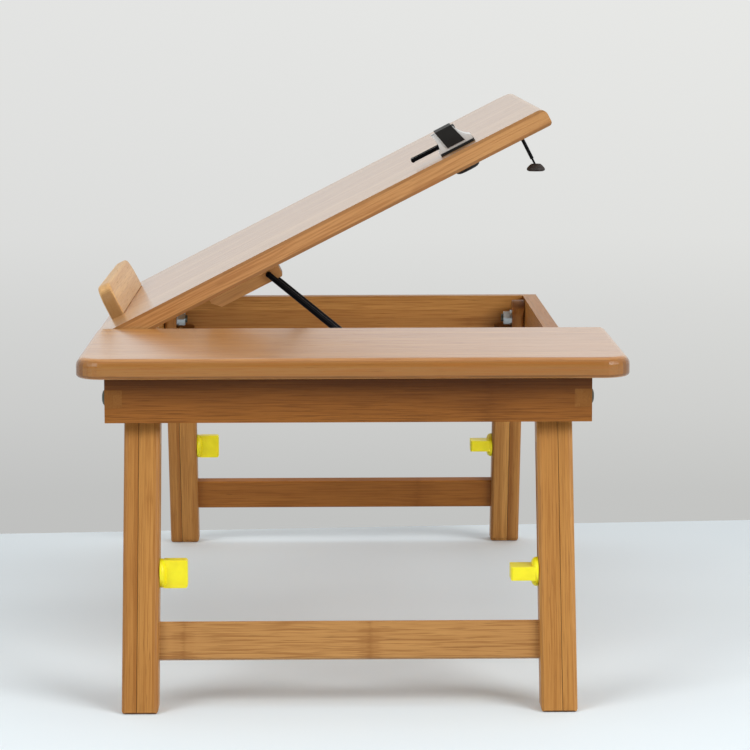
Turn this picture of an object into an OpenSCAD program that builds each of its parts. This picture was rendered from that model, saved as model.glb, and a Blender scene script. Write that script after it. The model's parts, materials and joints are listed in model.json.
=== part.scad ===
// Folding bamboo tray table. A fixed side board carries cups or a mouse, and a
// wide reading board beside it tilts up on a wire prop. Both boards lie on an
// open frame. Two pairs of leaning legs fold up into the frame, and each pair
// lengthens by sliding its inner halves, which yellow wing knobs clamp.
// Millimetres. Origin: bottom centre. +Z up, +X the fixed board's end,
// -Y the user's side, where the reading board is hinged.

/* [Top] */
// Depth of both boards, front to back
top_depth = 350; // [345:5:350]
// Height of the top face above the floor
top_height = 219; // [210:1:230]
// Thickness of the boards
board_t = 13; // [13:1:14]
// X of the fixed board's outer edge
board_end_x = 274; // [268:1:282]
// X of the seam between the two boards
seam_x = 98; // [92:1:106]
// Gap between the two boards at the seam
seam_gap = 1.5; // [1:0.1:2.5]
// X of the reading board's outer edge, as a positive number
panel_far_x = 264; // [262:1:276]
// Rounding of the upper edges
edge_top_r = 5.5; // [4:0.5:6]
// Rounding of the lower edges
edge_low_r = 2.5; // [2.5:1.5:4]
// Rounding of the outer corners, seen from above
corner_r = 18; // [10:1:26]

/* [Frame] */
// Length of the frame along X
frame_l = 522; // [518:1:526]
// Width of the frame along Y
frame_w = 308; // [306:1:310]
// Height of the rails
rail_h = 29; // [28:0.5:31]
// Thickness of the rails
rail_t = 11; // [10.6:0.1:11.2]
// Height of the long rails' middle finger
finger_h = 11.5; // [9:0.5:14]

/* [Tilt] */
// Angle of the reading board from flat
tilt = 27; // [22:0.5:30]
// Angle of the prop below level, in use
prop_drop = 39.4; // [38:0.2:41]
// Length of the prop wire from pivot to foot
prop_l = 87.6; // [86:0.2:88]
// Thickness of the prop wire
prop_d = 4.2; // [3.4:0.2:4.4]
// Number of notches in the notch bar
notch_count = 5; // [3:1:5]
// Spacing of the notches
notch_pitch = 10.3; // [9:0.1:11]

/* [Legs] */
// Lean of the legs from upright
lean = 18; // [16:0.5:18]
// X of the leg pivots
leg_x = 235; // [231:0.5:235]
// Drop of the leg pivots below the frame's top
pivot_drop = 16; // [15.6:0.1:16.5]
// Width of a leg along the frame
leg_w = 20; // [18:0.5:20]
// Thickness of the fixed outer half
outer_t = 9.3; // [9:0.1:9.6]
// Thickness of the sliding inner half
inner_t = 13.3; // [13:0.1:14]
// How far the inner halves slide
height_travel = 80; // [50:1:82]
// Distance from pivot to clamp stud, along the leg
stud_at = 113; // [112:0.5:116]
// Distance from pivot to the stretcher's middle, along the leg
stretcher_at = 156; // [150:1:158]
// Height of the stretcher
stretcher_h = 24; // [20:1:26]
// Thickness of the stretcher
stretcher_t = 8; // [7:0.5:12]

/* [Book stop and clip] */
// Length of the book stop
stop_l = 211; // [150:1:212]
// Height of the book stop above the board
stop_h = 24.5; // [20:0.5:30]
// Thickness of the book stop
stop_t = 10; // [8:0.5:12]
// X of the page clip
clip_x = 57; // [40:1:66]
// Distance of the page clip up the board, from the hinge
clip_u = 270; // [220:1:280]

/* [Hidden] */
board_y = 3.65;
frame_y = board_y - 3;
frame_top = top_height - board_t;
frame_low = frame_top - rail_h;
rail_out = frame_w / 2;
rail_in = rail_out - rail_t;
end_x = frame_l / 2;
finger_z = frame_low + 9.4;
hinge_y = frame_y - rail_out - 2.2;
hinge_z = frame_top - 2.2;
knuckle_r = 1.9;
hinge_len = 40;
hinge_at = [-205, 22];
leaf_t = 1.1;
leaf_hole_d = 2.8;
screw_off = 12;
screw_hole_d = 2.7;
panel_near_x = seam_x - seam_gap;
panel_n0 = 2.35;
panel_n1 = top_height - hinge_z;
panel_u0 = board_y - top_depth / 2 - hinge_y;
panel_u1 = board_y + top_depth / 2 - hinge_y;
prop_u = 110;
prop_n = -6.9;
prop_turn = -(tilt + prop_drop);
prop_x = 10;
notch_used = 2;
block_w = 15;
block_u0 = 64;
block_u1 = 119;
block_n0 = -12.4;
foot_y = hinge_y + prop_u * cos(tilt) - prop_n * sin(tilt) + prop_l * cos(prop_drop);
bar_top = frame_top - 16.9;
leg_z = frame_top - pivot_drop;
stop_near_x = 4.5;
stop_corner_r = 16;
stop_ease = 2.4;
leg_out = rail_in - 0.5;
leg_mid = leg_out - outer_t;
leg_gap = 0.3;
leg_in = leg_mid - leg_gap - inner_t;
leg_reach = leg_z / cos(lean) + leg_w;
leg_head = 14.5;
inner_drop = 9.5;
tongue_w = 8;
tongue_d = 4;
tongue_drop = 13;
tenon_t = 5;
tenon_h = 16;
tenon_l = 6.9;
sole_r = 2.6;
bolt_d = 6;
washer_t = 1.4;
stud_d = 6;
post_x = 85;
post_u = 311.5;
post_d = 2.4;
post_neck_n = -13;
ball_n = -18.6;
ball_r = 1.7;
socket_r = 2;
clip_w = 30;
clip_d = 25.5;
clip_h = 13.6;
clip_base_t = 2;
clip_bolt_d = 5;
lever_u = -9;
lever_n = 4.5;
lever_l = 22.5;
lever_w = 14;
lever_d = 2.6;
lever_axle = 21;
wood_pale = [0.80, 0.58, 0.34];
wood_mid = [0.72, 0.49, 0.27];
wood_deep = [0.58, 0.36, 0.18];
yellow = [0.95, 0.90, 0.08];
black = [0.06, 0.06, 0.07];
steel = [0.70, 0.71, 0.72];
zinc = [0.62, 0.66, 0.70];

// ---------- placing ----------

// Reading board's own frame: x along the hinge, y up the slope, z off its face
module in_panel() {
    translate([0, hinge_y, hinge_z])
        rotate([tilt, 0, 0])
            children();
}

// A leg pair's own frame: z runs up the leg, origin at the pivot.
// side is 1 for the fixed board's end and -1 for the other.
module in_leg(side) {
    translate([side * leg_x, frame_y, leg_z])
        rotate([0, -side * lean, 0])
            children();
}

// back is 1 for the back legs and -1 for the front ones
module at_back(back) {
    if (back > 0)
        children();
    else
        mirror([0, 1, 0]) children();
}

// ---------- shapes ----------

// Edge section of a board, w wide and t thick, lying on y = 0
module board_section(w, t) {
    hull() {
        for (s = [-1, 1]) {
            translate([s * (w / 2 - edge_low_r), edge_low_r])
                circle(r = edge_low_r, $fn = 32);
            translate([s * (w / 2 - edge_top_r), t - edge_top_r])
                circle(r = edge_top_r, $fn = 32);
        }
    }
}

// Rounded corner post of a board
module board_corner(t) {
    rotate_extrude($fn = 32)
        intersection() {
            board_section(2 * corner_r, t);
            translate([0, -1]) square([corner_r + 1, t + 2]);
        }
}

// Board from x0 (plain sawn edge) to x1 (rounded edge), depth w about y = 0
module rounded_board(x0, x1, w, t) {
    dir = x1 > x0 ? 1 : -1;
    hull() {
        translate([min(x0, x0 + dir), 0, 0])
            rotate([90, 0, 90])
                linear_extrude(height = 1)
                    board_section(w, t);
        for (s = [-1, 1])
            translate([x1 - dir * corner_r, s * (w / 2 - corner_r), 0])
                board_corner(t);
    }
}

// Bar along y with its long edges eased by r
module eased_bar(w, h, l, r) {
    rotate([-90, 0, 0])
        linear_extrude(height = l)
            offset(r = r, $fn = 24)
                square([w - 2 * r, h - 2 * r], center = true);
}

// Domed bolt with its head's seat at y = 0, shank towards -y
module pivot_bolt_shape(shank) {
    rotate([-90, 0, 0]) {
        translate([0, 0, -shank])
            cylinder(d = bolt_d, h = shank + 0.5, $fn = 48);
        rotate_extrude($fn = 48)
            polygon([[0, 0], [5.6, 0], [5.6, 1], [5.1, 1.9], [4.1, 2.7], [2.6, 3.2], [0, 3.4]]);
    }
}

// ---------- boards ----------

module side_panel() {
    color(wood_pale)
        translate([0, board_y, frame_top])
            rounded_board(seam_x, board_end_x, top_depth, board_t);
}

module tilt_panel() {
    color(wood_pale)
        in_panel()
            difference() {
                translate([0, (panel_u0 + panel_u1) / 2, panel_n0])
                    rounded_board(panel_near_x, -panel_far_x, top_depth, panel_n1 - panel_n0);
                // bolt hole of the page clip
                translate([clip_x, clip_u, -1])
                    cylinder(d = clip_bolt_d + 0.1, h = 20, $fn = 48);
                // hole for the post
                translate([post_x, post_u, 0])
                    cylinder(d = post_d + 0.1, h = 9, $fn = 32);
                panel_screw_places()
                    translate([0, 0, -1])
                        cylinder(d = screw_hole_d, h = 11, $fn = 32);
            }
}

// Outline of the book stop, drawn in by d from its top and ends: a strip with rounded
// upper corners, standing on y = 0
module stop_outline(d) {
    intersection() {
        hull() {
            translate([d - stop_l / 2, 0])
                square([stop_l - 2 * d, 4]);
            for (s = [-1, 1])
                translate([s * (stop_l / 2 - stop_corner_r), stop_h - stop_corner_r])
                    circle(r = stop_corner_r - d, $fn = 64);
        }
        translate([-stop_l, 0])
            square([2 * stop_l, stop_h + 1]);
    }
}

module book_stop() {
    color(wood_mid)
        in_panel()
            translate([stop_near_x - stop_l / 2, stop_t / 2, panel_n1])
                rotate([90, 0, 0])
                    difference() {
                        // rounded over round the top and ends
                        hull()
                            for (a = [0:22.5:90])
                                translate([0, 0, stop_ease * (1 - cos(a))])
                                    linear_extrude(height = stop_t - 2 * stop_ease * (1 - cos(a)))
                                        stop_outline(stop_ease * (1 - sin(a)));
                        // eased lower edges, front and back
                        for (z = [0, stop_t])
                            translate([-stop_l / 2 - 1, 0, z])
                                rotate([45, 0, 0])
                                    translate([0, -0.5, -0.5])
                                        cube([stop_l + 2, 1, 1]);
                    }
}

// ---------- frame ----------

module long_rail(back) {
    translate([0, frame_y, 0])
        at_back(back)
            difference() {
                union() {
                    translate([-(end_x - rail_t), rail_in, frame_low])
                        cube([2 * (end_x - rail_t), rail_t, rail_h]);
                    translate([-end_x, rail_in, finger_z])
                        cube([frame_l, rail_t, finger_h]);
                }
                for (s = [-1, 1])
                    translate([s * leg_x, rail_in - 1, leg_z])
                        rotate([-90, 0, 0])
                            cylinder(d = bolt_d + 0.1, h = rail_t + 2, $fn = 48);
            }
}

module front_rail() {
    color(wood_deep)
        difference() {
            long_rail(-1);
            rail_screw_places()
                translate([0, -1, 0])
                    rotate([-90, 0, 0])
                        cylinder(d = screw_hole_d, h = 10, $fn = 32);
        }
}

module back_rail() {
    color(wood_deep)
        difference() {
            long_rail(1);
            // housing that takes the post when the reading board is down
            translate([post_x, hinge_y + post_u, frame_low + 0.8])
                cylinder(r = 7.8, h = rail_h, $fn = 64);
        }
}

module end_rail(side) {
    color(wood_deep)
        difference() {
            translate([side > 0 ? end_x - rail_t : -end_x, frame_y - rail_out, frame_low])
                cube([rail_t, frame_w, rail_h]);
            for (s = [-1, 1])
                translate([side > 0 ? end_x - rail_t - 1 : -end_x - 1,
                           frame_y + (s > 0 ? rail_in : -rail_out - 1), finger_z])
                    cube([rail_t + 2, rail_t + 1, finger_h]);
        }
}

module right_rail() {
    end_rail(1);
}

module left_rail() {
    end_rail(-1);
}

// Cross bar with notches for the prop's foot
module notch_bar() {
    color(wood_mid)
        difference() {
            translate([-15, frame_y - rail_in, frame_low])
                cube([30, 2 * rail_in, bar_top - frame_low]);
            for (i = [0 : notch_count - 1])
                translate([-16, foot_y + (i - notch_used) * notch_pitch, bar_top])
                    rotate([45, 0, 0])
                        translate([0, -3.2, -3.2])
                            cube([32, 6.4, 6.4]);
        }
}

// ---------- hinges ----------

module rail_screw_places() {
    for (x = hinge_at)
        for (s = [-1, 1])
            translate([x + s * screw_off, frame_y - rail_out, hinge_z - 9.5])
                children();
}

module panel_screw_places() {
    for (x = hinge_at)
        for (s = [-1, 1])
            translate([x + s * screw_off, -8.2, panel_n0 - leaf_t])
                children();
}

// Barrels of one hinge: odd ones turn with the reading board
module barrels(odd) {
    step = hinge_len / 5;
    for (i = [0 : 4])
        if (i % 2 == odd)
            translate([-hinge_len / 2 + i * step + 0.15, 0, 0])
                rotate([0, 90, 0])
                    cylinder(r = knuckle_r, h = step - 0.3, $fn = 32);
}

module hinge_leaves_fixed() {
    color(steel)
        for (x = hinge_at)
            translate([x, hinge_y, hinge_z])
                difference() {
                    union() {
                        barrels(0);
                        translate([-hinge_len / 2 + 0.15, 1.1, -16])
                            cube([hinge_len - 0.3, leaf_t, 13]);
                        for (i = [0, 2, 4])
                            translate([-hinge_len / 2 + i * hinge_len / 5 + 0.15, 0.4, -4])
                                cube([hinge_len / 5 - 0.3, 1.8, 4]);
                    }
                    translate([-hinge_len, 0, 0])
                        rotate([0, 90, 0])
                            cylinder(d = 1.85, h = 2 * hinge_len, $fn = 32);
                    for (s = [-1, 1])
                        translate([s * screw_off, 0, -9.5])
                            rotate([-90, 0, 0])
                                cylinder(d = leaf_hole_d, h = 5, $fn = 32);
                }
}

module hinge_leaves_moving() {
    color(steel)
        in_panel()
            for (x = hinge_at)
                translate([x, 0, 0])
                    difference() {
                        union() {
                            barrels(1);
                            translate([-hinge_len / 2 + 0.15, -14, panel_n0 - leaf_t])
                                cube([hinge_len - 0.3, 11.4, leaf_t]);
                            for (i = [1, 3])
                                translate([-hinge_len / 2 + i * hinge_len / 5 + 0.15, -4, 0.6])
                                    cube([hinge_len / 5 - 0.3, 4, panel_n0 - 0.6]);
                        }
                        translate([-hinge_len, 0, 0])
                            rotate([0, 90, 0])
                                cylinder(d = 1.9, h = 2 * hinge_len, $fn = 32);
                        for (s = [-1, 1])
                            translate([s * screw_off, -8.2, 0])
                                cylinder(d = leaf_hole_d, h = 5, $fn = 32);
                    }
}

module hinge_pins() {
    color(steel)
        for (x = hinge_at)
            translate([x - hinge_len / 2 - 0.6, hinge_y, hinge_z])
                rotate([0, 90, 0])
                    cylinder(d = 1.8, h = hinge_len + 1.2, $fn = 32);
}

// Round-headed wood screw, seat at z = 0, shank towards +z
module screw_shape() {
    cylinder(d = 2.6, h = 9, $fn = 32);
    translate([0, 0, -1.3])
        difference() {
            rotate_extrude($fn = 32)
                polygon([[0, 0], [1.6, 0], [2.3, 0.6], [2.5, 1.3], [0, 1.3]]);
            translate([-3, -0.3, -0.5])
                cube([6, 0.6, 1.1]);
        }
}

module hinge_screws_rail() {
    color(steel)
        rail_screw_places()
            translate([0, -leaf_t, 0])
                rotate([-90, 0, 0])
                    screw_shape();
}

module hinge_screws_panel() {
    color(steel)
        in_panel()
            panel_screw_places()
                screw_shape();
}

// ---------- prop ----------

module prop_block() {
    color(wood_mid)
        in_panel()
            difference() {
                translate([-block_w / 2, block_u0, block_n0])
                    cube([block_w, block_u1 - block_u0, panel_n0 - block_n0]);
                // sloping ends
                translate([-block_w, block_u1, block_n0])
                    rotate([-25, 0, 0])
                        translate([0, -1, -6])
                            cube([2 * block_w, 8, 40]);
                translate([-block_w, block_u0, block_n0])
                    rotate([45, 0, 0])
                        translate([0, -4, -4])
                            cube([2 * block_w, 8, 8]);
                translate([-block_w, prop_u, prop_n])
                    rotate([0, 90, 0])
                        cylinder(d = prop_d + 0.12, h = 2 * block_w, $fn = 48);
            }
}

module prop_rod() {
    color(black)
        in_panel()
            translate([0, prop_u, prop_n])
                rotate([prop_turn, 0, 0]) {
                    for (s = [-1, 1]) {
                        translate([s * prop_x, 0, 0]) {
                            rotate([-90, 0, 0])
                                cylinder(d = prop_d, h = prop_l, $fn = 32);
                            sphere(d = prop_d, $fn = 32);
                            translate([0, prop_l, 0])
                                sphere(d = prop_d, $fn = 32);
                        }
                        translate([s > 0 ? 2 : -prop_x, 0, 0])
                            rotate([0, 90, 0])
                                cylinder(d = prop_d, h = prop_x - 2, $fn = 48);
                    }
                    translate([-prop_x, prop_l, 0])
                        rotate([0, 90, 0])
                            cylinder(d = prop_d, h = 2 * prop_x, $fn = 32);
                }
}

// ---------- page clip ----------

module at_clip(n) {
    in_panel()
        translate([clip_x, clip_u, n])
            children();
}

module clip_base() {
    color(black)
        at_clip(panel_n1)
            difference() {
                linear_extrude(height = clip_base_t)
                    offset(r = 1.5, $fn = 24)
                        square([clip_w - 3, clip_d - 3], center = true);
                translate([0, 0, -1])
                    cylinder(d = clip_bolt_d + 0.1, h = 4, $fn = 48);
            }
}

// Bright saddle, hollowed on both flanks and leaning down the slope
module clip_body() {
    color(steel)
        at_clip(panel_n1 + clip_base_t)
            difference() {
                translate([-clip_w / 2 + 0.8, 0, 0])
                    rotate([90, 0, 90])
                        linear_extrude(height = clip_w - 1.6)
                            difference() {
                                translate([-13.2, 0])
                                    square([25.4, clip_h]);
                                translate([20, 18])
                                    circle(r = 17, $fn = 96);
                                translate([-26, 7])
                                    circle(r = 14.6, $fn = 96);
                            }
                // well that holds the black core
                translate([-clip_w / 2 + 3.4, -4.6, 1.4])
                    cube([clip_w - 6.8, 9.2, 20]);
                translate([0, 0, -1])
                    cylinder(d = clip_bolt_d + 0.1, h = 6, $fn = 48);
                // seat and bore of the lever
                translate([-lever_w / 2 - 0.4, -20, lever_n - 2.2])
                    cube([lever_w + 0.8, 20 + lever_u + 1.8, 20]);
                translate([-lever_axle / 2 - 0.2, lever_u, lever_n])
                    rotate([0, 90, 0])
                        cylinder(d = lever_d + 0.1, h = lever_axle + 0.4, $fn = 48);
            }
}

// Black core: a block in the saddle's well, a cap over it and a leaning cheek at each end
module clip_core() {
    color(black)
        at_clip(panel_n1 + clip_base_t) {
            translate([-clip_w / 2 + 3.5, -4.5, 4.2])
                cube([clip_w - 7, 9, clip_h - 4]);
            for (x = [-clip_w / 2 - 0.4, clip_w / 2 - 0.7])
                translate([x, 0, 0])
                    rotate([90, 0, 90])
                        linear_extrude(height = 1.1)
                            polygon([[-6.6, 1.6], [6.6, 1.6], [2.4, clip_h + 1.5], [-9.8, clip_h + 1.5]]);
            translate([-clip_w / 2, -9.4, clip_h + 0.1])
                cube([clip_w, 12, 1.4]);
        }
}

// Flat wire loop that springs the clip open, hinged in the saddle's lower flank
module clip_lever() {
    color(black)
        at_clip(panel_n1 + clip_base_t)
            translate([0, lever_u, lever_n]) {
                translate([-lever_axle / 2, 0, 0])
                    rotate([0, 90, 0])
                        cylinder(d = lever_d, h = lever_axle, $fn = 48);
                for (s = [-1, 1])
                    translate([s * (lever_w - lever_d) / 2 - lever_d / 2, -lever_l, -lever_d / 2])
                        cube([lever_d, lever_l, lever_d]);
                translate([-lever_w / 2, -lever_l, 0])
                    rotate([0, 90, 0])
                        cylinder(d = lever_d + 0.4, h = lever_w, $fn = 32);
            }
}

module clip_bolt() {
    color(steel)
        at_clip(0) {
            translate([0, 0, -1.6])
                cylinder(d = clip_bolt_d, h = panel_n1 + clip_base_t + 3, $fn = 48);
            translate([0, 0, panel_n1 + clip_base_t + 1.4])
                cylinder(d = 8.6, h = 2.6, $fn = 6);
        }
}

// Flat round thumb nut under the board
module clip_nut() {
    color(black)
        at_clip(-2)
            difference() {
                rotate_extrude($fn = 48)
                    polygon([[0, 0], [6.8, 0], [8.4, 0.8], [9, 2], [9, 3.2], [8.4, 4.2], [0, 4.2]]);
                translate([0, 0, 0.3])
                    cylinder(d = clip_bolt_d + 0.12, h = 6, $fn = 48);
            }
}

// ---------- post ----------

module post_rod() {
    color(black)
        in_panel()
            translate([post_x, post_u, 0]) {
                translate([0, 0, post_neck_n])
                    cylinder(d = post_d, h = 8.6 - post_neck_n, $fn = 32);
                translate([0, 0, ball_n])
                    cylinder(d = 1.4, h = post_neck_n - ball_n + 0.2, $fn = 32);
                translate([0, 0, ball_n])
                    sphere(r = ball_r, $fn = 32);
            }
}

// Swivelling round foot, level in use
module post_foot() {
    color(black)
        in_panel()
            translate([post_x, post_u, ball_n])
                rotate([-tilt, 0, 0])
                    difference() {
                        translate([0, 0, -3.5])
                            rotate_extrude($fn = 48)
                                polygon([[0, 0], [5, 0], [6, 0.5], [6.3, 1.3], [6, 2.2], [4.6, 3.8], [3.1, 5],
                                         [0, 5]]);
                        sphere(r = socket_r, $fn = 32);
                        // mouth of the socket
                        cylinder(r1 = 0, r2 = 10 * tan(52), h = 10, $fn = 48);
                    }
}

// ---------- leg pivots ----------

module pivot_places() {
    for (side = [-1, 1])
        for (back = [-1, 1])
            translate([side * leg_x, frame_y, leg_z])
                at_back(back)
                    children();
}

module pivot_bolts() {
    color(zinc)
        pivot_places()
            translate([0, rail_out, 0])
                pivot_bolt_shape(rail_out - leg_mid + 8.4);
}

module pivot_washers() {
    color(zinc)
        pivot_places()
            translate([0, leg_mid - 0.15, 0])
                rotate([90, 0, 0])
                    difference() {
                        cylinder(d = 12.5, h = washer_t, $fn = 48);
                        translate([0, 0, -1])
                            cylinder(d = bolt_d + 0.1, h = 4, $fn = 48);
                    }
}

module pivot_nuts() {
    color(zinc)
        pivot_places()
            translate([0, leg_mid - 0.15 - washer_t, 0])
                rotate([90, 0, 0])
                    difference() {
                        intersection() {
                            cylinder(d = 11.5, h = 5.2, $fn = 6);
                            translate([0, 0, -2])
                                cylinder(r1 = 9.2, r2 = 4.9, h = 8, $fn = 48);
                        }
                        translate([0, 0, -1])
                            cylinder(d = bolt_d + 0.1, h = 8, $fn = 48);
                    }
}

// ---------- legs ----------

// Section of a leg half from y0 to y1: its edges at y1 are eased if soft_out, else those at y0
module half_section(y0, y1, soft_out) {
    r = 3;
    if (soft_out)
        hull() {
            translate([-leg_w / 2, y0]) square([leg_w, 1]);
            for (s = [-1, 1])
                translate([s * (leg_w / 2 - r), y1 - r]) circle(r = r, $fn = 32);
        }
    else
        hull() {
            translate([-leg_w / 2, y1 - 1]) square([leg_w, 1]);
            for (s = [-1, 1])
                translate([s * (leg_w / 2 - r), y0 + r]) circle(r = r, $fn = 32);
        }
}

// Cutter that rounds an edge lying along y at the origin, material towards +x and +z
module edge_cutter(r) {
    difference() {
        translate([-20, -60, -20])
            cube([20 + r, 120, 20 + r]);
        translate([r, -61, r])
            rotate([-90, 0, 0])
                cylinder(r = r, h = 122, $fn = 48);
    }
}

// Cuts a leg half off level at the floor, between y0 and y1, and rounds its sole.
// at0 and at1 say whether the edges at y0 and y1 are rounded too.
module level_sole(side, back, y0, y1, at0, at1) {
    sole_x = side * (leg_x + leg_z * tan(lean));
    half = leg_w / 2 / cos(lean);
    difference() {
        intersection() {
            children();
            translate([-400, -250, 0])
                cube([800, 500, 300]);
        }
        translate([sole_x, frame_y, 0])
            at_back(back) {
                for (s = [-1, 1])
                    translate([s * half, (y0 + y1) / 2, 0])
                        face_inwards(s)
                            edge_cutter(sole_r);
                if (at0)
                    translate([0, y0, 0])
                        rotate([0, 0, -90])
                            mirror([1, 0, 0])
                                edge_cutter(sole_r);
                if (at1)
                    translate([0, y1, 0])
                        rotate([0, 0, -90])
                            edge_cutter(sole_r);
            }
    }
}

// Faces its children's +x towards the middle from side s
module face_inwards(s) {
    if (s > 0)
        mirror([1, 0, 0]) children();
    else
        children();
}

module upper_leg(side, back) {
    color(wood_pale)
        level_sole(side, back, leg_mid, leg_out, false, true)
            in_leg(side)
                at_back(back)
                    difference() {
                        union() {
                            intersection() {
                                translate([0, 0, -leg_reach])
                                    linear_extrude(height = leg_reach + leg_head)
                                        half_section(leg_mid, leg_out, true);
                                union() {
                                    translate([-leg_w, 0, -leg_reach])
                                        cube([2 * leg_w, 200, leg_reach + leg_head - leg_w / 2]);
                                    translate([0, 0, leg_head - leg_w / 2])
                                        rotate([-90, 0, 0])
                                            cylinder(d = leg_w, h = 200, $fn = 64);
                                }
                            }
                            // tongue that guides the inner half
                            translate([-tongue_w / 2, leg_mid - tongue_d, -leg_reach])
                                cube([tongue_w, tongue_d + 0.5, leg_reach - tongue_drop]);
                        }
                        translate([0, leg_mid - 1, 0])
                            rotate([-90, 0, 0])
                                cylinder(d = bolt_d + 0.16, h = outer_t + 2, $fn = 48);
                        translate([0, leg_mid - tongue_d - 1, -stud_at])
                            rotate([-90, 0, 0])
                                cylinder(d = stud_d + 0.12, h = 11.5, $fn = 48);
                    }
}

module lower_leg(side, back) {
    y0 = leg_in;
    y1 = leg_mid - leg_gap;
    color(wood_mid)
        level_sole(side, back, y0, y1, true, false)
            in_leg(side)
                at_back(back)
                    difference() {
                        translate([0, 0, -leg_reach])
                            linear_extrude(height = leg_reach - inner_drop)
                                half_section(y0, y1, false);
                        // groove for the tongue
                        translate([-tongue_w / 2 - 0.3, y1 - tongue_d - 0.1, -leg_reach - 1])
                            cube([tongue_w + 0.6, tongue_d + 1, leg_reach + 2]);
                        // slot for the clamp stud
                        for (z = [-stud_at, -stud_at + height_travel])
                            translate([0, y0 - 1, z])
                                rotate([-90, 0, 0])
                                    cylinder(d = stud_d + 0.6, h = 20, $fn = 48);
                        translate([-stud_d / 2 - 0.3, y0 - 1, -stud_at])
                            cube([stud_d + 0.6, 20, height_travel]);
                        // mortise for the stretcher
                        translate([-tenon_t / 2, y0 - 1, -stretcher_at - tenon_h / 2])
                            cube([tenon_t, tenon_l + 1.1, tenon_h]);
                    }
}

module stretcher(side) {
    color(wood_mid)
        in_leg(side) {
            translate([0, -leg_in, -stretcher_at])
                eased_bar(stretcher_t, stretcher_h, 2 * leg_in, 1.5);
            translate([-tenon_t / 2, -leg_in - tenon_l, -stretcher_at - tenon_h / 2])
                cube([tenon_t, 2 * (leg_in + tenon_l), tenon_h]);
        }
}

module right_front_upper_leg() { upper_leg(1, -1); }
module right_back_upper_leg() { upper_leg(1, 1); }
module left_front_upper_leg() { upper_leg(-1, -1); }
module left_back_upper_leg() { upper_leg(-1, 1); }
module right_front_lower_leg() { lower_leg(1, -1); }
module right_back_lower_leg() { lower_leg(1, 1); }
module left_front_lower_leg() { lower_leg(-1, -1); }
module left_back_lower_leg() { lower_leg(-1, 1); }
module right_stretcher() { stretcher(1); }
module left_stretcher() { stretcher(-1); }

// ---------- clamp knobs ----------

// turn: how far the paddle is turned from standing along the leg
module wing_knob(side, back, turn) {
    color(yellow)
        in_leg(side)
            at_back(back)
                translate([0, leg_in - 0.2, -stud_at])
                    rotate([90, 0, 0])
                        difference() {
                            union() {
                                rotate_extrude($fn = 48)
                                    polygon([[0, 0], [9.3, 0], [9.3, 1.2], [8.9, 2.4], [7.9, 3.4], [6.4, 4],
                                             [0, 4.2]]);
                                rotate([0, 0, turn])
                                    translate([-4.3, 0, 3])
                                        rotate([90, 0, 90])
                                            linear_extrude(height = 8.6)
                                                offset(r = 1.6, $fn = 24)
                                                    translate([-7.3, 0])
                                                        square([14.6, 12.8]);
                            }
                            translate([0, 0, -1])
                                cylinder(d = stud_d + 0.08, h = 12, $fn = 48);
                        }
}

module clamp_stud(side, back) {
    color(steel)
        in_leg(side)
            at_back(back)
                translate([0, leg_in - 11, -stud_at])
                    rotate([-90, 0, 0])
                        cylinder(d = stud_d, h = leg_mid + 6 - leg_in + 11, $fn = 48);
}

module right_front_knob() { wing_knob(1, -1, -lean); }
module right_back_knob() { wing_knob(1, 1, 90 - lean); }
module left_front_knob() { wing_knob(-1, -1, lean); }
module left_back_knob() { wing_knob(-1, 1, 90 + lean); }
module right_front_stud() { clamp_stud(1, -1); }
module right_back_stud() { clamp_stud(1, 1); }
module left_front_stud() { clamp_stud(-1, -1); }
module left_back_stud() { clamp_stud(-1, 1); }

side_panel();
tilt_panel();
book_stop();
front_rail();
back_rail();
right_rail();
left_rail();
notch_bar();
hinge_leaves_fixed();
hinge_leaves_moving();
hinge_pins();
hinge_screws_rail();
hinge_screws_panel();
prop_block();
prop_rod();
clip_base();
clip_body();
clip_core();
clip_lever();
clip_bolt();
clip_nut();
post_rod();
post_foot();
pivot_bolts();
pivot_washers();
pivot_nuts();
right_front_upper_leg();
right_back_upper_leg();
left_front_upper_leg();
left_back_upper_leg();
right_front_lower_leg();
right_back_lower_leg();
left_front_lower_leg();
left_back_lower_leg();
right_stretcher();
left_stretcher();
right_front_knob();
right_back_knob();
left_front_knob();
left_back_knob();
right_front_stud();
right_back_stud();
left_front_stud();
left_back_stud();
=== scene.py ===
import json
import math

import bpy
from mathutils import Euler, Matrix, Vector


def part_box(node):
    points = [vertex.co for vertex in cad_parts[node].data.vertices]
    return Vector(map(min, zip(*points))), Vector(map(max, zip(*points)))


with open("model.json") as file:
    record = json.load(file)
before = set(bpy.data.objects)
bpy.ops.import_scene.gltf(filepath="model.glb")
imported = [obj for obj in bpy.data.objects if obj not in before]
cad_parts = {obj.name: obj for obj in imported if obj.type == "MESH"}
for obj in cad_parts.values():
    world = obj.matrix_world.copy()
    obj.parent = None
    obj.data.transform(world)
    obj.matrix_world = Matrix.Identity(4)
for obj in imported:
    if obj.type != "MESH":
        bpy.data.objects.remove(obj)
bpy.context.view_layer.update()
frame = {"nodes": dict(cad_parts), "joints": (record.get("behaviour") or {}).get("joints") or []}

# ---------------------------------------------------------------- the part's places
JOINTS = {joint["name"]: joint for joint in frame["joints"]}
NODES = frame["nodes"]
HINGE = Vector(JOINTS["panel_tilt"]["pos_m"])
LEG_PIVOT_X = JOINTS["right_legs_fold"]["pos_m"][0]
LEG_PIVOT_Z = JOINTS["right_legs_fold"]["pos_m"][2]
# the reading board's slope and the legs' lean at rest, in degrees
TILT = 27.0
LEAN = 18.0
# the fixed board's lower and upper face, and how deep the painted shade on the rounded top and bottom of
# its sides goes
BOARD_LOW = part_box("side_panel")[0][2]
BOARD_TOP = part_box("side_panel")[1][2]
RIM_SHADE_T = 0.0024
SIDES = ("right", "left")
DEPTHS = ("front", "back")


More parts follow.
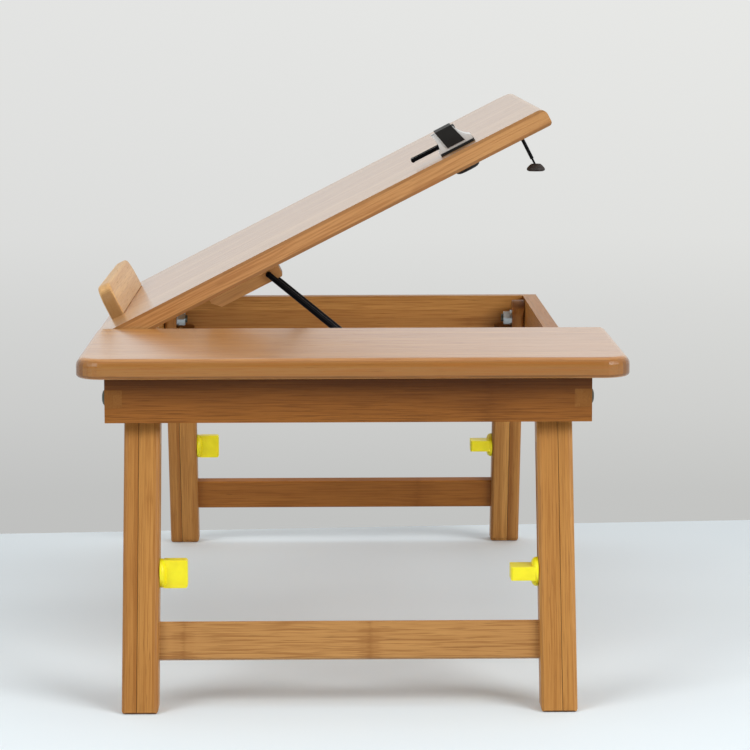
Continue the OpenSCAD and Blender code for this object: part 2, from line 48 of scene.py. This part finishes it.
def rgb(red, green, blue):
    """A display colour, 0 to 255, as the linear colour that a shader takes."""
    def linear(value):
        value /= 255.0
        return value / 12.92 if value <= 0.04045 else ((value + 0.055) / 1.055) ** 2.4
    return (linear(red), linear(green), linear(blue), 1.0)


# ---------------------------------------------------------------- node helpers
class Graph:
    """The node tree of a material or of the world, with short calls for the nodes used here."""

    def __init__(self, owner, output="ShaderNodeOutputMaterial"):
        self.owner = owner
        owner.use_nodes = True
        self.tree = owner.node_tree
        self.tree.nodes.clear()
        self.output = self.tree.nodes.new(output)

    def node(self, kind, **settings):
        made = self.tree.nodes.new(kind)
        for key, value in settings.items():
            setattr(made, key, value)
        return made

    def join(self, source, target):
        self.tree.links.new(source, target)

    def put(self, socket, value):
        """Links a socket, or sets its plain value."""
        if isinstance(value, bpy.types.NodeSocket):
            self.join(value, socket)
        else:
            socket.default_value = value

    def math(self, operation, a, b=0.0, clamp=False):
        made = self.node("ShaderNodeMath", operation=operation, use_clamp=clamp)
        self.put(made.inputs[0], a)
        self.put(made.inputs[1], b)
        return made.outputs[0]

    def place(self, rotation=(0, 0, 0), location=(0, 0, 0)):
        """Object coordinates turned so that grain runs along y."""
        coordinates = self.node("ShaderNodeTexCoord")
        mapping = self.node("ShaderNodeMapping", vector_type="TEXTURE")
        mapping.inputs["Location"].default_value = location
        mapping.inputs["Rotation"].default_value = rotation
        self.join(coordinates.outputs["Object"], mapping.inputs["Vector"])
        return mapping.outputs["Vector"]

    def stretch(self, vector, scale):
        made = self.node("ShaderNodeVectorMath", operation="MULTIPLY")
        self.put(made.inputs[0], vector)
        made.inputs[1].default_value = scale
        return made.outputs[0]

    def shift(self, vector, offset):
        made = self.node("ShaderNodeVectorMath", operation="ADD")
        self.put(made.inputs[0], vector)
        self.put(made.inputs[1], offset)
        return made.outputs[0]

    def noise(self, vector, scale, detail=2.0, rough=0.5, distortion=0.0):
        made = self.node("ShaderNodeTexNoise")
        self.put(made.inputs["Vector"], vector)
        made.inputs["Scale"].default_value = scale
        made.inputs["Detail"].default_value = detail
        made.inputs["Roughness"].default_value = rough
        made.inputs["Distortion"].default_value = distortion
        return made.outputs[0]

    def ramp(self, value, stops, smooth=False):
        """stops: (position, colour or grey) pairs."""
        made = self.node("ShaderNodeValToRGB")
        elements = made.color_ramp.elements
        made.color_ramp.interpolation = "EASE" if smooth else "LINEAR"
        while len(elements) < len(stops):
            elements.new(0.5)
        for element, (position, colour) in zip(elements, stops):
            element.position = position
            element.color = colour if isinstance(colour, tuple) else (colour, colour, colour, 1.0)
        self.put(made.inputs[0], value)
        return made.outputs[0]

    def mix(self, factor, a, b, blend="MIX"):
        made = self.node("ShaderNodeMix", data_type="RGBA", blend_type=blend, clamp_factor=True)
        self.put(made.inputs[0], factor)
        self.put(made.inputs[6], a)
        self.put(made.inputs[7], b)
        return made.outputs[2]

    def bump(self, height, strength, distance, under=None):
        made = self.node("ShaderNodeBump")
        made.inputs["Strength"].default_value = strength
        made.inputs["Distance"].default_value = distance
        self.put(made.inputs["Height"], height)
        if under is not None:
            self.join(under, made.inputs["Normal"])
        return made.outputs[0]

    def shade(self, colour, roughness, normal=None, **plain):
        """The surface shader. plain holds sockets with one value all over."""
        shader = self.node("ShaderNodeBsdfPrincipled")
        self.put(shader.inputs["Base Color"], colour)
        self.put(shader.inputs["Roughness"], roughness)
        if normal is not None:
            self.join(normal, shader.inputs["Normal"])
        for key, value in plain.items():
            shader.inputs[key.replace("_", " ")].default_value = value
        self.join(shader.outputs[0], self.output.inputs["Surface"])
        return self.owner


# ---------------------------------------------------------------- bamboo
# grain sizes, as repeats per metre across, along and through the strips
FINE_GRAIN = (2600, 22, 2600)
MIDDLE_GRAIN = (900, 7, 900)
BROAD_GRAIN = (120, 2.5, 120)
CLOUD_GRAIN = (9, 4, 9)
DASH_GRAIN = (1150, 26, 1150)
FLECK_GRAIN = (1500, 60, 1500)
# how much of the deep colour is left in the painted shade of boards' sides and in the cut ends, and in
# the darkest lines
SHADED_DEEP = 0.45
UMBER_DEEP = 0.36
# the distance that a ramp of bands covers, in millimetres, and the depth in metres over which the
# painted shade on a board's rounded rims fades in
BAND_MM = 30.0
RIM_SHADE_FADE = 0.0004
# strengths of the single marks, from 0 to 1: the first two are painted shade on a board's rounded rims,
# and the cut ends' mark is end grain deepened with painted shade
RIM_SHADE_ABOVE = 0.40
RIM_SHADE_BELOW = 0.65
NODE_BAND = 0.30
NODE_LINE = 0.10
CUT_END_AND_SHADE = 0.75
GLUE_LINE = 0.42
FLECKS = 0.33
LACQUER_ROUGHNESS = 0.29


def darker(colour, share):
    return tuple(channel * share for channel in colour[:3]) + (1.0,)


def bamboo(name, pale, deep, rotation=(0, 0, 0), location=(0, 0, 0), strip=0.0075, layer=0.0065,
           node_gap=0.24, seed=0.0, contrast=1.0, coat=0.0, edge=0.0, rim_shade=None, bands=None,
           dashes=0.45, node_at=None):
    """Laminated bamboo under satin lacquer.

    Strips run along y after the turn, strip wide and layer thick. Each has its own tone, its own
    fibres and, every node_gap, the dark ring of a bamboo node; node_at puts the nodes of all the
    strips there. edge darkens a board's sides all over, and rim_shade gives the heights outside
    which they are darkened more: both are painted shade. bands gives the tone by the distance from
    the origin across the layers: from the seam in a leg half, from the lower edge in the right rail,
    where it is painted shade. dashes is the strength of the fibre bundles.
    """
    g = Graph(bpy.data.materials.new(name))
    raw = g.place(rotation, location)
    place = g.shift(raw, (seed, seed * 0.37, seed * 0.61))
    parts = g.node("ShaderNodeSeparateXYZ")
    g.join(raw, parts.inputs[0])
    across, along, up = parts.outputs[0], parts.outputs[1], parts.outputs[2]

    # which strip and which layer of the lamination this is
    strip_at = g.math("DIVIDE", across, strip)
    layer_at = g.math("DIVIDE", up, layer)
    layer_no = g.math("FLOOR", layer_at)
    strip_at = g.math("ADD", strip_at, g.math("MULTIPLY", layer_no, 0.37))
    strip_no = g.math("FLOOR", strip_at)
    pair = g.node("ShaderNodeCombineXYZ")
    g.join(strip_no, pair.inputs[0])
    g.join(layer_no, pair.inputs[1])
    pair.inputs[2].default_value = seed
    dice = g.node("ShaderNodeTexWhiteNoise", noise_dimensions="3D")
    g.join(pair.outputs[0], dice.inputs["Vector"])
    chance = dice.outputs["Value"]
    chances = g.node("ShaderNodeSeparateColor")
    g.join(dice.outputs["Color"], chances.inputs[0])

    # fibres: long streaks at three sizes, each strip with its own
    own = g.shift(place, g.stretch(dice.outputs["Color"], (0.9, 0.9, 0.9)))
    fine = g.noise(g.stretch(own, FINE_GRAIN), 1.0, 2.0, 0.6)
    middle = g.noise(g.stretch(own, MIDDLE_GRAIN), 1.0, 2.0, 0.5)
    broad = g.noise(g.stretch(own, BROAD_GRAIN), 1.0, 2.0, 0.5)
    cloud = g.noise(g.stretch(place, CLOUD_GRAIN), 1.0, 2.0, 0.5)
    streak = g.math("ADD", g.math("MULTIPLY", fine, 0.50), g.math("MULTIPLY", middle, 0.30))
    streak = g.math("ADD", streak, g.math("MULTIPLY", broad, 0.20))
    low, high = 0.5 - 0.17 / contrast, 0.5 + 0.17 / contrast
    fibre = g.ramp(streak, [(low, 0.0), (high, 1.0)])

    # tone of the strip and slow drift along the plank
    tone = g.math("ADD", g.math("MULTIPLY", chance, 0.55 * contrast), g.math("MULTIPLY", cloud, 0.75))
    tone = g.math("ADD", g.math("MULTIPLY", fibre, 0.50), tone)
    tone = g.math("MULTIPLY", tone, 0.62, clamp=True)
    if bands:
        from_seam = g.math("MULTIPLY", g.math("ABSOLUTE", up), 1000.0 / BAND_MM)
        banded = g.ramp(from_seam, [(at / BAND_MM, grey) for at, grey in bands])
        tone = g.math("ADD", tone, g.math("SUBTRACT", banded, 0.5), clamp=True)
    colour = g.mix(tone, deep, pale)

    # which way the surface faces, in the strips' own directions
    turned = g.node("ShaderNodeMapping", vector_type="TEXTURE")
    turned.inputs["Rotation"].default_value = rotation
    g.join(g.node("ShaderNodeTexCoord").outputs["Normal"], turned.inputs["Vector"])
    facing = g.node("ShaderNodeSeparateXYZ")
    g.join(turned.outputs["Vector"], facing.inputs[0])
    side = g.ramp(g.math("ABSOLUTE", facing.outputs[2]), [(0.55, 1.0), (0.85, 0.0)])
    cut_end = g.ramp(g.math("ABSOLUTE", facing.outputs[1]), [(0.60, 0.0), (0.80, 1.0)])
    shaded = darker(deep, SHADED_DEEP)
    umber = darker(deep, UMBER_DEEP)

    # painted shade: a board's sides are darkened against its top, by which way they face
    if edge:
        colour = g.mix(g.math("MULTIPLY", side, edge), colour, shaded)
    # painted shade: a board's sides darken within the last few millimetres of its top and bottom, where
    # they round over
    if rim_shade:
        above = g.math("DIVIDE", g.math("SUBTRACT", up, rim_shade[1]), RIM_SHADE_FADE, clamp=True)
        below = g.math("DIVIDE", g.math("SUBTRACT", rim_shade[0], up), RIM_SHADE_FADE, clamp=True)
        above = g.math("MULTIPLY", above, RIM_SHADE_ABOVE)
        outer = g.math("ADD", above, g.math("MULTIPLY", below, RIM_SHADE_BELOW))
        colour = g.mix(g.math("MULTIPLY", side, outer), colour, shaded)

    # the ring of each node: a thin dark line in a slightly darker, swollen band
    ring_at = g.math("DIVIDE", along, node_gap)
    phase = chances.outputs[0] if node_at is None else 0.5 - node_at / node_gap
    ring_at = g.math("ADD", ring_at, phase)
    wobble = g.math("MULTIPLY", g.math("SUBTRACT", middle, 0.5), 0.05)
    ring = g.math("FRACT", g.math("ADD", ring_at, wobble))
    ring = g.math("ABSOLUTE", g.math("SUBTRACT", ring, 0.5))
    line = g.ramp(ring, [(0.0, 1.0), (0.004, 0.7), (0.010, 0.0)])
    band = g.ramp(ring, [(0.0, 1.0), (0.030, 0.5), (0.080, 0.0)], smooth=True)
    band = g.math("MULTIPLY", band, g.ramp(middle, [(0.38, 0.25), (0.62, 1.0)]))
    shown = g.ramp(chances.outputs[1], [(0.35, 0.0), (0.75, 1.0)]) if node_at is None else 1.0
    line = g.math("MULTIPLY", line, shown)
    band = g.math("MULTIPLY", band, shown)
    colour = g.mix(g.math("MULTIPLY", band, NODE_BAND), colour, deep)
    colour = g.mix(g.math("MULTIPLY", line, NODE_LINE), colour, umber)

    # dark dashes of the fibre bundles, denser round the nodes, and the darker cut ends: end grain,
    # deepened as painted shade to match the right rail's at the finger joints
    dash = g.noise(g.stretch(own, DASH_GRAIN), 1.0, 2.0, 0.55)
    dash = g.math("ADD", dash, g.math("MULTIPLY", band, 0.16))
    dash = g.ramp(dash, [(0.49, 0.0), (0.61, 1.0)])
    colour = g.mix(g.math("MULTIPLY", dash, dashes), colour, deep)
    colour = g.mix(g.math("MULTIPLY", cut_end, CUT_END_AND_SHADE), colour, shaded)

    # glue lines between strips, broken up, and short dark flecks in the fibres
    seam = g.math("ABSOLUTE", g.math("SUBTRACT", g.math("FRACT", strip_at), 0.5))
    seam = g.ramp(seam, [(0.455, 0.0), (0.497, 1.0)])
    fleck = g.noise(g.stretch(own, FLECK_GRAIN), 1.0, 1.0, 0.5)
    fleck = g.ramp(fleck, [(0.66, 0.0), (0.76, 1.0)])
    colour = g.mix(g.math("MULTIPLY", g.math("MULTIPLY", seam, middle), GLUE_LINE), colour, umber)
    colour = g.mix(g.math("MULTIPLY", fleck, FLECKS), colour, umber)

    # lacquer: a little uneven, duller in the pores
    roughness = g.math("ADD", g.math("MULTIPLY", middle, 0.14), LACQUER_ROUGHNESS)
    roughness = g.math("ADD", roughness, g.math("MULTIPLY", fleck, 0.18), clamp=True)
    height = g.math("ADD", g.math("MULTIPLY", fibre, 0.5), g.math("MULTIPLY", band, 0.9))
    height = g.math("SUBTRACT", height, g.math("MULTIPLY", seam, 0.6))
    height = g.math("SUBTRACT", height, g.math("MULTIPLY", g.math("ADD", fleck, dash), 0.5))
    ripple = g.noise(place, 210.0, 2.0, 0.5)
    normal = g.bump(ripple, 0.10, 0.0006)
    normal = g.bump(height, 0.22, 0.00025, under=normal)
    return g.shade(colour, roughness, normal, IOR=1.45, Specular_IOR_Level=0.2, Coat_Weight=coat,
                   Coat_Roughness=0.2, Coat_IOR=1.3)


LEG_PALE = rgb(206, 150, 82)
LEG_DEEP = rgb(140, 84, 36)
# tone by distance in millimetres: 0.5 leaves it as it is
OUTER_BANDS = [(0.0, 0.22), (2.6, 0.30), (3.2, 0.50), (6.0, 0.55), (9.4, 0.45)]
CLEAR_BANDS = [(0.0, 0.25), (0.6, 0.56), (5.0, 0.58), (5.6, 0.46), (9.4, 0.50)]
INNER_BANDS = [(0.0, 0.62), (3.6, 0.66), (4.2, 0.50), (9.0, 0.54), (9.6, 0.44), (13.4, 0.48)]
# the right rail's tone from its lower edge: painted shade of the board's overhang, darkest at the top
# and clearing towards the lower edge
OVERHANG_SHADE_BANDS = [(0.0, 0.95), (9.0, 0.70), (18.0, 0.42), (25.0, 0.15), (29.0, 0.0)]
ALONG_X = (0, 0, math.radians(90))


def along_slope():
    """Turns the grain to run up the reading board, as placed at rest."""
    return {"rotation": (math.radians(TILT), 0, 0), "location": tuple(HINGE)}


def across_slope():
    """Grain along x, layers square to the reading board."""
    turn = Euler((math.radians(TILT), 0, 0)).to_matrix() @ Euler(ALONG_X).to_matrix()
    return {"rotation": tuple(turn.to_euler()), "location": tuple(HINGE)}


def along_leg(side, seam_y):
    """Turns the grain to run up a leaning leg, with the origin on the seam between its halves."""
    upright = Euler((math.radians(90), 0, 0)).to_matrix()
    turn = Euler((0, math.radians(-side * LEAN), 0)).to_matrix() @ upright
    return {"rotation": tuple(turn.to_euler()), "location": (side * LEG_PIVOT_X, seam_y, LEG_PIVOT_Z)}


# ---------------------------------------------------------------- plastics and metals
PORES = 2400.0


def moulded(name, colour, shade_colour, gloss, grain, **plain):
    """Moulded plastic: fine spark-eroded grain, slow flow marks and handling dulling."""
    g = Graph(bpy.data.materials.new(name))
    place = g.place()
    flow = g.noise(place, 55.0, 3.0, 0.5, distortion=0.6)
    pores = g.noise(place, PORES, 2.0, 0.6)
    scuff = g.noise(g.stretch(place, (900, 120, 260)), 1.0, 2.0, 0.6)
    tint = g.mix(g.ramp(flow, [(0.35, 0.0), (0.68, 1.0)]), colour, shade_colour)
    tint = g.mix(g.math("MULTIPLY", g.ramp(scuff, [(0.62, 0.0), (0.75, 1.0)]), 0.18), tint, shade_colour)
    roughness = g.math("ADD", g.math("MULTIPLY", scuff, 0.16), gloss, clamp=True)
    normal = g.bump(g.math("ADD", pores, g.math("MULTIPLY", flow, 0.6)), grain, 0.0002)
    return g.shade(tint, roughness, normal, IOR=1.5, **plain)


def plated(name, colour, dull, gloss, direction=(40, 900, 900), patina=0.35, pitting=0.5,
           metallic=1.0):
    """Plated steel: drawn lines, cloudy passivation and small dark pits."""
    g = Graph(bpy.data.materials.new(name))
    place = g.place()
    drawn = g.noise(g.stretch(place, direction), 1.0, 3.0, 0.6)
    cloud = g.noise(place, 160.0, 3.0, 0.6)
    pits = g.ramp(g.noise(place, 2100.0, 1.0, 0.5), [(0.70, 0.0), (0.80, 1.0)])
    tint = g.mix(g.math("MULTIPLY", g.ramp(cloud, [(0.35, 0.0), (0.7, 1.0)]), patina), colour, dull)
    pits = g.math("MULTIPLY", pits, pitting)
    tint = g.mix(pits, tint, dull)
    roughness = g.math("ADD", g.math("MULTIPLY", drawn, 0.22), gloss, clamp=True)
    normal = g.bump(g.math("SUBTRACT", drawn, pits), 0.14, 0.0001)
    return g.shade(tint, roughness, normal, Metallic=metallic)


# ---------------------------------------------------------------- finish of each node
def give(material, *names):
    for name in names:
        for slot in NODES[name].material_slots:
            slot.material = material
        if not NODES[name].material_slots:
            NODES[name].data.materials.append(material)


def finish_boards():
    # painted shade on the boards' sides: on the rounded rims of both, and all over the fixed board's
    # sides
    low, high = BOARD_LOW + RIM_SHADE_T, BOARD_TOP - RIM_SHADE_T
    give(bamboo("board_fixed", rgb(214, 156, 86), rgb(160, 100, 44), seed=0.31, coat=1.0, edge=0.5,
                rim_shade=(low, high), dashes=0.65), "side_panel")
    give(bamboo("board_reading", rgb(218, 168, 110), rgb(164, 110, 62), seed=1.73, coat=1.0,
                rim_shade=(low - HINGE.z, high - HINGE.z), dashes=0.6, **along_slope()), "tilt_panel")
    give(bamboo("stop_strip", rgb(242, 202, 142), rgb(196, 142, 84), seed=0.77, **across_slope()),
         "book_stop")
    # the prop block: paler than the boards, painted light for its place in the shade under the reading
    # board
    give(bamboo("block_painted_light", rgb(232, 180, 118), rgb(182, 124, 74), seed=2.4, **along_slope()),
         "prop_block")


def finish_frame():
    give(bamboo("rail_long", rgb(208, 150, 80), rgb(160, 98, 40), rotation=ALONG_X, seed=0.53,
                contrast=1.2), "front_rail", "back_rail")
    # the right rail: a darker copy of the rails' bamboo, with the overhang's painted shade banded into
    # it
    apron_low = (0, 0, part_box("right_rail")[0][2])
    give(bamboo("rail_right_painted_shade", rgb(156, 98, 42), rgb(92, 50, 16), location=apron_low, seed=3.1,
                contrast=1.2, layer=0.03, node_gap=0.30, bands=OVERHANG_SHADE_BANDS), "right_rail")
    give(bamboo("rail_left", LEG_PALE, LEG_DEEP, seed=3.9, contrast=1.2, node_gap=0.30), "left_rail")
    give(bamboo("bar_strip", rgb(170, 108, 46), rgb(114, 64, 22), seed=4.6), "notch_bar")


# a strip and layer larger than a stretcher, and how far outside it they start
SLAT = 0.06
SLAT_MARGIN = 0.002


def slat(name, pale, deep, seed, node_gap, node_at):
    """A stretcher sawn from one slat, so that its nodes cross its whole height."""
    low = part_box(name)[0]
    corner = (low[0] - SLAT_MARGIN, 0, low[2] - SLAT_MARGIN)
    give(bamboo(name, pale, deep, location=corner, strip=SLAT, layer=SLAT, node_gap=node_gap,
                node_at=node_at, seed=seed, dashes=0.5), name)


def finish_legs():
    for side, word in zip((1, -1), SIDES):
        for number, depth in enumerate(DEPTHS):
            seed = 5.0 + side * 1.3 + number * 0.7
            low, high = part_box(f"{word}_{depth}_lower_leg")
            seam_y = low[1] if depth == "front" else high[1]
            bands = CLEAR_BANDS if word == "right" and depth == "back" else OUTER_BANDS
            shared = {"layer": 0.0046, "contrast": 1.1, "dashes": 0.36, **along_leg(side, seam_y)}
            outer = bamboo(f"leg_outer_{word}_{depth}", LEG_PALE, LEG_DEEP, seed=seed, bands=bands,
                           **shared)
            inner = bamboo(f"leg_inner_{word}_{depth}", LEG_PALE, LEG_DEEP, seed=seed + 0.21,
                           bands=INNER_BANDS, **shared)
            give(outer, f"{word}_{depth}_upper_leg")
            give(inner, f"{word}_{depth}_lower_leg")
    slat("right_stretcher", rgb(202, 152, 92), rgb(132, 82, 42), 8.7, 0.117, 0.0135)
    # the left stretcher: a darker copy of the stretchers' bamboo, painted shade from the table above it
    slat("left_stretcher", rgb(188, 124, 58), rgb(122, 70, 26), 6.7, 0.21, 0.06)


def every(piece):
    """The names of the four nodes of a kind, one at each leg."""
    return [f"{side}_{depth}_{piece}" for side in SIDES for depth in DEPTHS]


def finish_fittings():
    yellow = moulded("knob_yellow", rgb(252, 238, 20), rgb(236, 220, 6), 0.34, grain=0.08,
                     Subsurface_Weight=0.12, Subsurface_Scale=0.004)
    give(yellow, *every("knob"))
    black = moulded("clip_black", rgb(24, 24, 22), rgb(13, 13, 12), 0.5, grain=0.16,
                    Specular_IOR_Level=0.3)
    give(black, "clip_base", "clip_core", "clip_nut")
    give(moulded("foot_rubber", rgb(40, 30, 26), rgb(24, 18, 16), 0.55, grain=0.2), "post_foot")
    wire = plated("wire_black", rgb(24, 24, 26), rgb(12, 12, 13), 0.36, direction=(700, 60, 700))
    give(wire, "prop_rod", "clip_lever", "post_rod")
    zinc = plated("zinc", rgb(196, 204, 208), rgb(140, 150, 158), 0.24)
    give(zinc, "pivot_washers", "pivot_nuts")
    give(plated("bolt_dull", rgb(92, 95, 86), rgb(60, 62, 56), 0.42), "pivot_bolts")
    steel = plated("hinge_steel", rgb(204, 204, 200), rgb(150, 150, 148), 0.28)
    give(steel, "hinge_leaves_fixed", "hinge_leaves_moving", "hinge_pins", "hinge_screws_rail",
         "hinge_screws_panel", "clip_bolt", *every("stud"))
    bright = plated("clip_bright", rgb(236, 237, 236), rgb(206, 208, 208), 0.22, patina=0.2,
                    pitting=0.0, metallic=0.45)
    give(bright, "clip_body")


# ---------------------------------------------------------------- surroundings
# the floor sheet's back edge, its turn in degrees, and its reach to each side and to the front
FLOOR_BACK_X = -0.353
FLOOR_TURN = 4.5
FLOOR_WIDE = 3.0
FLOOR_NEAR = 4.0


def make_floor():
    """A pale sheet that ends behind the table."""
    g = Graph(bpy.data.materials.new("floor_sheet"))
    place = g.place()
    cloud = g.noise(place, 3.0, 3.0, 0.5)
    fold = g.noise(g.stretch(place, (9, 1.4, 1)), 1.0, 2.0, 0.5)
    tint = g.mix(cloud, rgb(230, 240, 247), rgb(237, 247, 252))
    normal = g.bump(fold, 0.12, 0.004)
    material = g.shade(tint, 0.75, normal, Specular_IOR_Level=0.25)
    mesh = bpy.data.meshes.new("floor")
    corners = [(0, -FLOOR_WIDE, 0), (FLOOR_NEAR, -FLOOR_WIDE, 0), (FLOOR_NEAR, FLOOR_WIDE, 0),
               (0, FLOOR_WIDE, 0)]
    mesh.from_pydata(corners, [], [(0, 1, 2, 3)])
    floor = bpy.data.objects.new("floor", mesh)
    floor.location = (FLOOR_BACK_X, 0, 0)
    floor.rotation_euler = (0, 0, math.radians(FLOOR_TURN))
    mesh.materials.append(material)
    bpy.context.scene.collection.objects.link(floor)


# The wall's grey by the height of the view direction, from the floor's edge up.
WALL = ((0.0, 193), (0.07, 195), (0.18, 205), (0.32, 214), (0.42, 222), (0.58, 226), (0.8, 230),
        (1.0, 233))
WALL_LOW = -0.18
WALL_HIGH = 0.06
BLACK = (0.0, 0.0, 0.0, 1.0)
WHITE = (1.0, 1.0, 1.0, 1.0)
EVEN_LIGHT = 0.75
# what is left of the wall's light in the room before the table
ROOM_DIM = 0.14


def make_world():
    """Even light from all round, a pale wall beyond the table and a dimmer room before it."""
    world = bpy.data.worlds.new("studio")
    bpy.context.scene.world = world
    g = Graph(world, "ShaderNodeOutputWorld")
    parts = g.node("ShaderNodeSeparateXYZ")
    g.join(g.node("ShaderNodeTexCoord").outputs["Generated"], parts.inputs[0])
    toward, side, up = parts.outputs[0], parts.outputs[1], parts.outputs[2]
    height = g.math("DIVIDE", g.math("SUBTRACT", up, WALL_LOW), WALL_HIGH - WALL_LOW, clamp=True)
    wall = g.ramp(height, [(at, rgb(grey, grey + 0.6, grey - 0.6)) for at, grey in WALL])
    across = g.math("ADD", g.math("MULTIPLY", side, 3.0), 0.5, clamp=True)
    wall = g.mix(1.0, wall, g.mix(across, (0.97, 0.97, 0.97, 1.0), (1.03, 1.03, 1.02, 1.0)), "MULTIPLY")
    room = g.math("ADD", g.math("MULTIPLY", toward, -1.6), 0.75, clamp=True)
    dimmed = g.mix(room, (ROOM_DIM, ROOM_DIM, ROOM_DIM, 1.0), WHITE)
    mirrored = g.mix(1.0, wall, dimmed, "MULTIPLY")
    rays = g.node("ShaderNodeLightPath").outputs
    seen = g.node("ShaderNodeBackground")
    g.join(g.mix(rays["Is Camera Ray"], mirrored, wall), seen.inputs[0])
    even = g.node("ShaderNodeBackground")
    above = g.math("ADD", g.math("MULTIPLY", up, 1.2), 0.30, clamp=True)
    g.join(g.mix(above, BLACK, dimmed), even.inputs[0])
    even.inputs[1].default_value = EVEN_LIGHT
    shown = g.math("MAXIMUM", rays["Is Camera Ray"], rays["Is Glossy Ray"])
    shown = g.math("MAXIMUM", shown, rays["Is Transmission Ray"])
    choose = g.node("ShaderNodeMixShader")
    g.join(shown, choose.inputs[0])
    g.join(even.outputs[0], choose.inputs[1])
    g.join(seen.outputs[0], choose.inputs[2])
    g.join(choose.outputs[0], g.output.inputs[0])


# soft boxes, with their places and watts, all of one size and colour and aimed at one point
LIGHTS = (("right_box", (1.9, 2.0, 1.7), 59.0), ("left_box", (1.9, -2.0, 1.9), 40.0),
          ("top_box", (0.3, 0.0, 2.4), 7.0))
LIGHT_AIM = (0.1, 0.0, 0.15)
LIGHT_SIZE = 1.6
LIGHT_COLOUR = (1.0, 0.99, 0.97)


def make_light(name, place, power):
    lamp = bpy.data.lights.new(name, "AREA")
    lamp.shape = "RECTANGLE"
    lamp.size = LIGHT_SIZE
    lamp.size_y = LIGHT_SIZE
    lamp.energy = power
    lamp.color = LIGHT_COLOUR
    light = bpy.data.objects.new(name, lamp)
    light.location = place
    light.rotation_euler = (Vector(LIGHT_AIM) - Vector(place)).to_track_quat("-Z", "Y").to_euler()
    bpy.context.scene.collection.objects.link(light)


SENSOR_MM = 36.0
LENS_MM = 143.7
CAMERA_AT = (2.13397, -0.0111, 0.44418)
CAMERA_YAW = math.radians(0.871)
CAMERA_PITCH = math.radians(7.213)
CAMERA_ROLL = math.radians(0.110)


def make_camera():
    """Beyond the fixed board's end, a little above the top, with a long lens."""
    lens = bpy.data.cameras.new("camera")
    lens.sensor_width = SENSOR_MM
    lens.lens = LENS_MM
    lens.clip_start = 0.05
    camera = bpy.data.objects.new("camera", lens)
    camera.location = CAMERA_AT
    turn = (math.radians(90) - CAMERA_PITCH, 0, math.radians(90) - CAMERA_YAW)
    look = Euler(turn, "XYZ").to_matrix()
    spin = Euler((0, 0, -CAMERA_ROLL)).to_matrix()
    camera.rotation_euler = (look @ spin).to_euler()
    bpy.context.scene.collection.objects.link(camera)
    bpy.context.scene.camera = camera


finish_boards()
finish_frame()
finish_legs()
finish_fittings()
make_floor()
make_world()
for box in LIGHTS:
    make_light(*box)
make_camera()
bpy.context.scene.view_settings.view_transform = "Standard"
